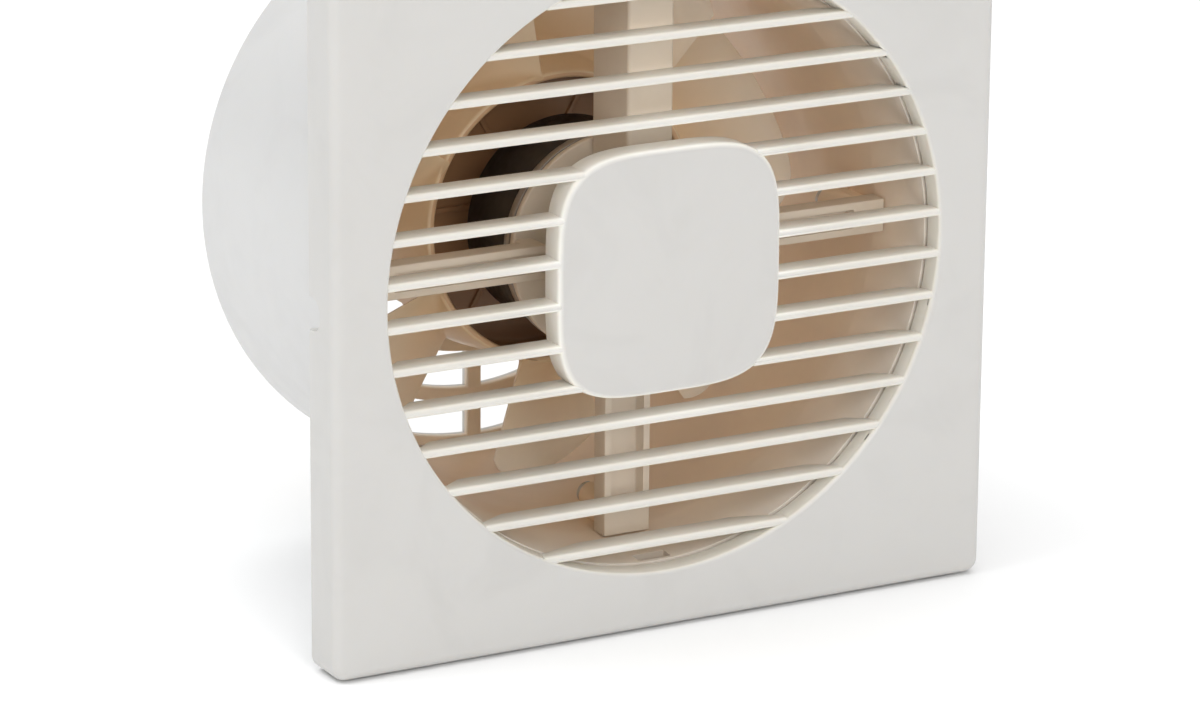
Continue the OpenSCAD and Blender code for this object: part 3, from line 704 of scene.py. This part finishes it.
def build_collar():
    """The ring round the mouth's back, which holds the bars' ends."""
    front, back, edge = at(1.5), at(5), 0.3 * MM
    return lathe("collar", rounded([
        (OPENING_R, front, 0), (COLLAR_OUT_R, front, 0),
        (COLLAR_OUT_R, back, edge), (COLLAR_BACK_R, back, edge)], 3), 256)


def build_boss():
    """The blank squircle in the middle, a cup that is open to the back."""
    boss = prism("boss", squircle(BOSS_HALF, BOSS_POWER), FRONT, BAR_BACK, front=1.6 * MM,
                 back=0.3 * MM, steps=6)
    return cut(boss, [prism("boss_hollow", squircle(BOSS_HALF - BOSS_WALL, BOSS_POWER),
                            FRONT + BOSS_WALL, PAST, front=0.8 * MM, steps=3)])


def latch_tongue(side):
    """The tongue that goes into the duct's window, above or below the mouth."""
    z0, z1 = sorted((side * 77.6 * MM, side * 79.2 * MM))
    half_w = 4 * MM
    return box("tongue", (-half_w, at(2.4), z0), (half_w, at(9.8), z1), 0.4 * MM)


def build_cover():
    cover = prism("cover", rounded_square(HALF, 3.5 * MM), FRONT, 0, front=2.6 * MM,
                  back=0.3 * MM, steps=8)
    cut(cover, [cover_cavity(), mouth_cutter(), notch_cutter(-1), notch_cutter(1)])
    combine(cover, [build_collar(), build_boss(), grille_bars(),
                    latch_tongue(-1), latch_tongue(1)])
    soften(cover, width_mm=0.25, angle=38)
    stand_for(cover, "front_grille", "cover", COVER)


# ---- the duct: mouth, bore and screw bosses -------------------------------------------------

BORE_R = 72.5 * MM
DUCT_R = 75 * MM
DUCT_END = DUCT_HIGH.y
FLARE_END = at(26)                       # where the mouth's flare meets the straight bore
ARM_ANGLES = (0, 90, 180, 270)
GUARD_ANGLES = (45, 135, 225, 315)
FOOT_R = 67.6 * MM                       # the screws of the spider's feet, from the axis
FOOT_BOSS_FRONT, FOOT_BOSS_BACK = at(26.6), at(40)
FOOT_HOLE_R = 1.65 * MM
GUARD_SCREW_R = 66.6 * MM                # the guard's screws, from the axis
GUARD_BOSS_FRONT = at(86)
GUARD_HOLE_R = 1.55 * MM
SCREW_BOSS_R = 3.4 * MM
SCREW_WEB_HALF = 2.6 * MM                # half the width of a boss's web


def screw_holes(radius, y0, y1, angles, from_axis):
    """Thin cutters along Y on a circle about the duct's axis."""
    return [bar_y("hole", radius, y0, y1, polar_xz(a, from_axis), steps=24) for a in angles]


def wall_boss(angle, radius, y0, y1):
    """A screw boss with a web that grows out of the duct's wall."""
    step = 0.2 * MM
    post = bar_y("boss", SCREW_BOSS_R, y0, y1, (radius, 0), 0.5 * MM, 32)
    web = box("web", (radius, y0 + step, -SCREW_WEB_HALF),
              (BORE_R + 1 * MM, y1 - step, SCREW_WEB_HALF), 0.4 * MM)
    return turn_y(combine(post, [web]), angle)


def latch_window(side):
    """The cutter of the slot that a latch tongue goes into."""
    z0, z1 = sorted((side * 70 * MM, side * 78.5 * MM))
    half_w = 4.5 * MM
    return box("window", (-half_w, at(7), z0), (half_w, at(10.5), z1))


def build_duct():
    duct = lathe("housing", rounded([
        (COLLAR_BACK_R - 0.2 * MM, DUCT_LOW.y, 0.15 * MM), (COLLAR_OUT_R, DUCT_LOW.y, 0.4 * MM),
        (COLLAR_OUT_R, 0, 0), (DUCT_R, 0, 0),
        (DUCT_R, DUCT_END, 0.9 * MM), (BORE_R, DUCT_END, 0.5 * MM),
        (BORE_R, FLARE_END, 12 * MM)], 6), 256)
    added = [wall_boss(a, FOOT_R, FOOT_BOSS_FRONT, FOOT_BOSS_BACK) for a in ARM_ANGLES]
    added += [wall_boss(a, GUARD_SCREW_R, GUARD_BOSS_FRONT, GUARD_LOW.y) for a in GUARD_ANGLES]
    combine(duct, added)
    wire_passage = box("passage", (6 * MM, at(4), 69 * MM), (13 * MM, at(10.5), 79 * MM), 0.5 * MM)
    cut(duct, [
        latch_window(-1), latch_window(1), wire_passage,
        *screw_holes(FOOT_HOLE_R, at(20), at(45), ARM_ANGLES, FOOT_R),
        *screw_holes(GUARD_HOLE_R, at(88), at(107), GUARD_ANGLES, GUARD_SCREW_R)])
    soften(duct, width_mm=0.2, angle=40)
    stand_for(duct, "housing", "base", HOUSING)


# ---- the square base ------------------------------------------------------------------------

SCREW_OFFSET = 74 * MM                   # the wall screws, from the axis along X and Z
WALL_SCREWS = [(x * SCREW_OFFSET, z * SCREW_OFFSET) for x in (-1, 1) for z in (-1, 1)]
CABLE_INLET = (60 * MM, 66 * MM)
CLAMP_SCREWS = [(42 * MM, z * MM) for z in (68.2, 82.4)]
BASE_WALL = 1.6 * MM
BASE_FLOOR_Y = -2.5 * MM                 # the front face of the base's floor
INSIDE_FLOOR_Y = -0.1 * MM               # where what stands on the floor ends, inside it
PAD_R, PAD_FRONT_Y = 5.5 * MM, -4 * MM   # round the wall screws
POST_R, POST_FRONT_Y = 2.4 * MM, -4.9 * MM
INLET_RING_R, INLET_RING_FRONT_Y = 7 * MM, -3.3 * MM
WALL_HOLE_R, POST_HOLE_R, INLET_HOLE_R = 2.3 * MM, 1.25 * MM, 5 * MM
CUTTER_FRONT_Y = -9 * MM                 # in front of all that stands on the floor


def build_base():
    base = prism("housing_base", rounded_square(BASE_HALF, 3 * MM), BASE_LOW.y, 0,
                 front=0.4 * MM, back=0.4 * MM, steps=3)
    tray = prism("tray", rounded_square(BASE_HALF - BASE_WALL, 2 * MM), at(2), BASE_FLOOR_Y,
                 back=0.6 * MM, steps=3)
    cut(base, [tray])
    pads = [bar_y("pad", PAD_R, PAD_FRONT_Y, INSIDE_FLOOR_Y, c, 0.4 * MM) for c in WALL_SCREWS]
    posts = [bar_y("post", POST_R, POST_FRONT_Y, -1 * MM, c, 0.2 * MM, 32) for c in CLAMP_SCREWS]
    inlet_ring = bar_y("ring", INLET_RING_R, INLET_RING_FRONT_Y, INSIDE_FLOOR_Y, CABLE_INLET,
                       0.3 * MM)
    combine(base, pads + posts + [inlet_ring])
    cut(base, [
        bar_y("hole", COLLAR_OUT_R, at(2), PAST, steps=256),
        *[bar_y("hole", WALL_HOLE_R, CUTTER_FRONT_Y, PAST, c, steps=32) for c in WALL_SCREWS],
        *[bar_y("hole", POST_HOLE_R, CUTTER_FRONT_Y, -0.6 * MM, c, steps=24)
          for c in CLAMP_SCREWS],
        bar_y("hole", INLET_HOLE_R, CUTTER_FRONT_Y, PAST, CABLE_INLET)])
    shade(base)
    stand_for(base, "housing_base", "base", BASE_WHITE)


# ---- the spider that carries the motor, and its wiring duct ---------------------------------

DISC_R = 27.7 * MM
DISC_FRONT, DISC_BACK = at(29.2), at(31.2)
ARM_ROOT = 22.7 * MM                     # inside the disc
ARM_END = BORE_R - 0.3 * MM
ARM_FRONT, ARM_BACK = at(21), at(26.5)
ARM_WALL = 1.8 * MM
ARM_W, LOWER_ARM_W = 8.4 * MM, 12.6 * MM
FLOOR_HALF = 4.6 * MM                    # half the width of the upper arm, a flat floor
BEARING_HOLE_R = 7.8 * MM
LEAD_HOLE, LEAD_HOLE_R = (12 * MM, -15.5 * MM), 3.6 * MM
TERMINAL_SCREW, TERMINAL_HOLE_R = (18 * MM, 0), 1.25 * MM
MOTOR_SCREW_Z, MOTOR_HOLE_R = 19 * MM, 1.6 * MM
FOOT_PILOT_R = 1.55 * MM                 # the spider's own holes for the screws of its feet


def channel_arm(angle, width):
    """An arm of the spider: a channel open to the front, closed at its foot."""
    arm = box("arm", (ARM_ROOT, ARM_FRONT, -width / 2), (ARM_END, ARM_BACK, width / 2), 0.25 * MM)
    trough = box("trough", (ARM_ROOT - 1 * MM, at(19), ARM_WALL - width / 2),
                 (FOOT_R - 4 * MM, at(25), width / 2 - ARM_WALL), 0.5 * MM)
    cut(arm, [trough])
    inset = 0.1 * MM
    neck = box("neck", (ARM_ROOT, at(25.6), -width / 2 + inset),
               (26.9 * MM, at(30.2), width / 2 - inset), 0.3 * MM)
    return turn_y(combine(arm, [neck]), angle)


def upper_arm():
    """The arm under the wiring duct's cover, in two blocks: its floor and its foot."""
    floor = box("floor", (-FLOOR_HALF, at(25), ARM_ROOT), (FLOOR_HALF, at(30), 63.6 * MM),
                0.4 * MM)
    foot = box("foot", (-FLOOR_HALF, at(22), 60 * MM), (FLOOR_HALF, ARM_BACK, ARM_END), 0.4 * MM)
    return [floor, foot]


def build_spider():
    spider = bar_y("motor_spider", DISC_R, DISC_FRONT, DISC_BACK, edge=0.5 * MM, steps=128)
    combine(spider, [channel_arm(0, ARM_W), channel_arm(180, ARM_W),
                     channel_arm(270, LOWER_ARM_W), *upper_arm()])
    front, back = at(27), at(33)
    cut(spider, [
        bar_y("hole", BEARING_HOLE_R, front, back, steps=64),
        bar_y("hole", LEAD_HOLE_R, front, back, LEAD_HOLE, steps=32),
        bar_y("hole", TERMINAL_HOLE_R, front, back, TERMINAL_SCREW, steps=24),
        *[bar_y("hole", MOTOR_HOLE_R, at(28), back, (0, z * MOTOR_SCREW_Z), steps=24)
          for z in (-1, 1)],
        *screw_holes(FOOT_PILOT_R, at(23), at(28), ARM_ANGLES, FOOT_R)])
    soften(spider, width_mm=0.25, angle=40)
    stand_for(spider, "motor_spider", "base", SPIDER)


def build_duct_cover():
    low, high, wall = DUCT_COVER_LOW, DUCT_COVER_HIGH, 1.5 * MM
    cover = box("wiring_duct_cover", low, high, 1.1 * MM, 5)
    room = box("room", (low.x + wall, low.y + wall, low.z - PAST),
               (high.x - wall, high.y + 9 * MM, high.z + PAST), 0.5 * MM)
    cut(cover, [room])
    soften(cover, width_mm=0.2, angle=40)
    stand_for(cover, "wiring_duct_cover", "base", SPIDER)


# ---- the impeller: a cup-shaped hub, flared to the back, with seven twisted blades ----------
# These lengths, depths behind the front face and angles are in millimetres and degrees.

HUB_FRONT, HUB_BACK = 55.4, 81.0
HUB_FRONT_R, HUB_BACK_R = 37.3, 40.3
HUB_WALL = 2
HUB_FLOOR_FRONT, HUB_FLOOR_BACK = 75, 77.5
BUSH_BORE_R, BUSH_POST_R, BUSH_POST_FRONT = 4.5, 7, 62.5
HUB_RIBS = 6
BLADES, BLADE_SWEEP, FIRST_BLADE = 7, 38.8, -107
BLADE_FRONT, BLADE_BACK = 56.5, 80.6
BLADE_BELLY = 1.6                        # how far a blade bows to the front
BLADE_T = 2.0                            # its thickness at mid chord
BLADE_EDGE_T = 0.3                       # the share of it that is left at the edges
TIP_THINNING = 0.25                      # the share of it that is lost at the tip
ROOT_DEPTH = 1                           # how deep a blade starts in the hub's wall
ROOT_SWELL, ROOT_SWELL_R = 1.5, 0.9      # extra thickness at the root, and how fast it fades
TIP_R = 68.0
LEADING_CUT, LEADING_SHARE = 5, 0.22     # the tip's cut-back corners, as a height and a share
TRAILING_CUT, TRAILING_SHARE = 1.2, 0.1  # of the chord


def hub_radius(depth):
    """The hub's outside radius at a depth."""
    share = (depth - HUB_FRONT) / (HUB_BACK - HUB_FRONT)
    return HUB_FRONT_R + (HUB_BACK_R - HUB_FRONT_R) * share


def blade_point(t, face, span):
    """A point of the blade at share t of its chord, on one face, at share span of its height."""
    bow = math.sin(math.pi * t)
    depth = BLADE_FRONT + (BLADE_BACK - BLADE_FRONT) * t - BLADE_BELLY * bow
    leading = LEADING_CUT * max(0, 1 - t / LEADING_SHARE) ** 2
    trailing = TRAILING_CUT * max(0, 1 - (1 - t) / TRAILING_SHARE) ** 2
    root, tip = hub_radius(depth) - ROOT_DEPTH, TIP_R - leading - trailing
    r = root + (tip - root) * span
    thickness = BLADE_T * (BLADE_EDGE_T + (1 - BLADE_EDGE_T) * bow ** 0.5)
    thickness *= 1 + ROOT_SWELL * math.exp(-(r - root - ROOT_DEPTH) / ROOT_SWELL_R)
    thickness *= 1 - TIP_THINNING * span
    angle = math.radians(BLADE_SWEEP * t)
    y = at(depth + face * thickness / 2)
    return Vector((r * math.cos(angle) * MM, y, r * math.sin(angle) * MM))


def rounded_tip(ring, middle):
    """Two rings that close a blade's last ring; the points of its faces mirror each other."""
    rings = []
    for share, out in ((0.8, 0.25), (0.45, 0.42)):
        closer = []
        for i, p in enumerate(ring):
            mirror = ring[-i] if 0 < i != middle else p
            centre = (p + mirror) / 2
            radial = Vector((p.x, 0, p.z)).normalized()
            closer.append(centre + (p - centre) * share + radial * out * MM)
        rings.append(closer)
    return rings


def build_blade():
    """A closed loop of points round the section, repeated from the root to the tip."""
    chord_steps, span_steps = 28, 20
    shares = [(1 - math.cos(math.pi * i / chord_steps)) / 2 for i in range(chord_steps + 1)]
    loop = [(t, -1) for t in shares] + [(t, 1) for t in reversed(shares[1:-1])]
    rings = []
    for j in range(span_steps + 1):
        span = (j / span_steps) ** 1.4
        rings.append([blade_point(t, face, span) for t, face in loop])
    return stack("blade", rings + rounded_tip(rings[-1], chord_steps))


def build_hub():
    """The cup, its floor and the post for the bush, turned in one."""
    inner_r = hub_radius(HUB_FLOOR_FRONT) - HUB_WALL
    outline = rounded([
        (HUB_FRONT_R - HUB_WALL, HUB_FRONT, 0.7), (HUB_FRONT_R, HUB_FRONT, 0.9),
        (HUB_BACK_R, HUB_BACK, 0.7), (HUB_BACK_R - HUB_WALL, HUB_BACK, 0.5),
        (hub_radius(HUB_FLOOR_BACK) - HUB_WALL, HUB_FLOOR_BACK, 1.0),
        (BUSH_BORE_R, HUB_FLOOR_BACK, 0), (BUSH_BORE_R, BUSH_POST_FRONT, 0.3),
        (BUSH_POST_R, BUSH_POST_FRONT, 0.6), (BUSH_POST_R, HUB_FLOOR_FRONT, 1.0),
        (inner_r, HUB_FLOOR_FRONT, 1.5)], 5)
    return lathe("impeller", [(r * MM, at(depth)) for r, depth in outline], 192)


def hub_rib(angle):
    """A low rib on the hub's floor, from the post to the wall."""
    half_t = 0.7 * MM
    rib = box("rib", (6 * MM, at(74.2), -half_t), (37 * MM, at(75.5), half_t), 0.3 * MM)
    return turn_y(rib, angle)


def build_impeller():
    impeller = build_hub()
    ribs = [hub_rib(360 / HUB_RIBS * k) for k in range(HUB_RIBS)]
    blades = [turn_y(build_blade(), FIRST_BLADE + 360 / BLADES * k) for k in range(BLADES)]
    combine(impeller, ribs + blades)
    shade(impeller, 42)
    stand_for(impeller, "impeller", "rotor", IMPELLER)


# ---- the rear guard -------------------------------------------------------------------------

GUARD_DISC_R = 37.8 * MM
GUARD_DISH_R, GUARD_DISH = 34 * MM, 1.3 * MM  # the disc's hollow front
GUARD_EAR_R, EAR_HOLE_R, EAR_SINK_R = 4.2 * MM, 1.7 * MM, 3 * MM
EAR_SINK = 2 * MM                        # how deep a screw's head lies in its ear
GUARD_RINGS_MM = ((43.2, 46.9), (56.5, 60.2), (69.4, 72.2))
GUARD_RIBS = 8
GUARD_EDGE = 0.6 * MM


def guard_ring(inner_mm, outer_mm):
    """A flat ring of the guard, its four rims rounded."""
    low, high = GUARD_LOW.y, GUARD_HIGH.y
    corners = [(inner_mm, low), (outer_mm, low), (outer_mm, high), (inner_mm, high)]
    return lathe("ring", rounded([(r * MM, y, GUARD_EDGE) for r, y in corners], 4), 192)


def guard_rib(angle):
    """A rib from the guard's disc to the bore."""
    half_w, inset = 2.05 * MM, 0.05 * MM
    rib = box("rib", (30 * MM, GUARD_LOW.y + inset, -half_w),
              (70.5 * MM, GUARD_HIGH.y - inset, half_w), GUARD_EDGE)
    return turn_y(rib, angle)


def build_guard():
    low, high = GUARD_LOW.y, GUARD_HIGH.y
    guard = bar_y("rear_guard", GUARD_DISC_R, low, high, edge=GUARD_EDGE, steps=192)
    screws = [polar_xz(a, GUARD_SCREW_R) for a in GUARD_ANGLES]
    added = [guard_ring(*radii) for radii in GUARD_RINGS_MM]
    added += [guard_rib(360 / GUARD_RIBS * k) for k in range(GUARD_RIBS)]
    added += [bar_y("ear", GUARD_EAR_R, low, high, c, 0.4 * MM) for c in screws]
    combine(guard, added)
    cut(guard, [
        bar_y("dish", GUARD_DISH_R, low - PAST, low + GUARD_DISH, edge=GUARD_EDGE, steps=128),
        *[bar_y("hole", EAR_HOLE_R, low - PAST, high + PAST, c, steps=24) for c in screws],
        *[bar_y("sink", EAR_SINK_R, high - EAR_SINK, high + PAST, c, steps=32) for c in screws]])
    soften(guard, width_mm=0.25, angle=40)
    stand_for(guard, "rear_guard", "base", GUARD)


build_cover()
build_duct()
build_base()
build_spider()
build_duct_cover()
build_impeller()
build_guard()

# ---- CAD nodes that stay: a material each, and softened edges -------------------------------

KEPT = {
    "spider_screws": ZINC, "guard_screws": ZINC, "clamp_screws": ZINC, "terminal_screws": ZINC,
    "terminal_fixing_screw": ZINC, "motor_screws": ZINC, "impeller_retainer": ZINC,
    "cable_grommet": RUBBER, "cable_clamp": NYLON, "terminal_block": TERMINAL,
    "terminal_contacts": BRASS, "impeller_bush": BRASS, "motor_leads": INSULATION,
    "motor_front_plate": PLATED, "motor_can": BLACK_CAN, "front_bearing": BRONZE,
    "rear_bearing": BRONZE, "stator_core": LAMINATIONS, "rotor_core": LAMINATIONS,
    "shading_rings": COPPER, "coil_bobbins": NYLON, "stator_coils": WINDING,
    "rotor_cage": ALUMINIUM, "motor_shaft": STEEL, "thrust_washers": NYLON,
}
EDGE_MM = {"motor_can": 0.4, "cable_grommet": 0.3, "terminal_block": 0.25, "stator_coils": 0.8}
SMALL_EDGE_MM = 0.12
SAME_PLACE = 0.001 * MM
FLAT_DEGREES = 0.5


def finish_cad_node(node, material):
    """Joins a node's triangles into faces, and rounds its edges a little."""
    piece = NODES[node]
    dress(piece, material)
    weld = piece.modifiers.new("weld", "WELD")
    weld.merge_threshold = SAME_PLACE
    flat = piece.modifiers.new("flat", "DECIMATE")
    flat.decimate_type = "DISSOLVE"
    flat.angle_limit = math.radians(FLAT_DEGREES)
    soften(piece, EDGE_MM.get(node, SMALL_EDGE_MM))


for node_name, node_material in KEPT.items():
    finish_cad_node(node_name, node_material)

# ---- stage, light and camera ----------------------------------------------------------------

FLOOR_GAP = 0.5 * MM                     # keeps the floor just clear of the object
FLOOR_TONE = 0.95
WORLD_STRENGTH = 0.50
SENSOR_MM, LENS_MM = 36, 164.83
CAMERA_PLACE = (-0.623, -1.1005 + FRONT, 0.3586)
CAMERA_TURN = (73.296, -0.435, -28.613)  # its XYZ angles, in degrees


def build_floor():
    bm = bmesh.new()
    bmesh.ops.create_grid(bm, x_segments=1, y_segments=1, size=6)
    floor = make_object("floor", bm)
    floor.location.z = CAD_BOX[0].z - FLOOR_GAP
    material, _, shader = new_material("pale_floor")
    shader.inputs["Base Color"].default_value = (FLOOR_TONE, FLOOR_TONE, FLOOR_TONE, 1)
    shader.inputs["Roughness"].default_value = 0.9
    dress(floor, material)


def area_light(name, place, target, size, power, colour=(1, 1, 1)):
    """A square soft light that looks at a target."""
    data = bpy.data.lights.new(name, "AREA")
    data.size = size
    data.energy = power
    data.color = colour
    light = bpy.data.objects.new(name, data)
    light.location = place
    light.rotation_euler = (Vector(target) - Vector(place)).to_track_quat("-Z", "Y").to_euler()
    bpy.context.scene.collection.objects.link(light)


def build_light():
    world = bpy.data.worlds.new("studio")
    world.use_nodes = True
    background = world.node_tree.nodes["Background"]
    background.inputs["Color"].default_value = (1, 1, 1, 1)
    background.inputs["Strength"].default_value = WORLD_STRENGTH
    bpy.context.scene.world = world
    middle = (0, 0, 0)
    area_light("top", (0, 0.3, 3), (0, 0.3, 0), size=4.0, power=66)
    area_light("key", (-0.45, -1.9, 0.95), middle, size=1.3, power=19)
    area_light("side", (-1.5, 0.25, 1.7), middle, size=1.2, power=15, colour=(0.95, 0.98, 1.0))


def build_camera():
    data = bpy.data.cameras.new("camera")
    data.sensor_width = SENSOR_MM
    data.lens = LENS_MM
    camera = bpy.data.objects.new("camera", data)
    camera.location = CAMERA_PLACE
    camera.rotation_euler = [math.radians(angle) for angle in CAMERA_TURN]
    bpy.context.scene.collection.objects.link(camera)
    bpy.context.scene.camera = camera


build_floor()
build_light()
build_camera()
bpy.context.scene.view_settings.view_transform = "Standard"
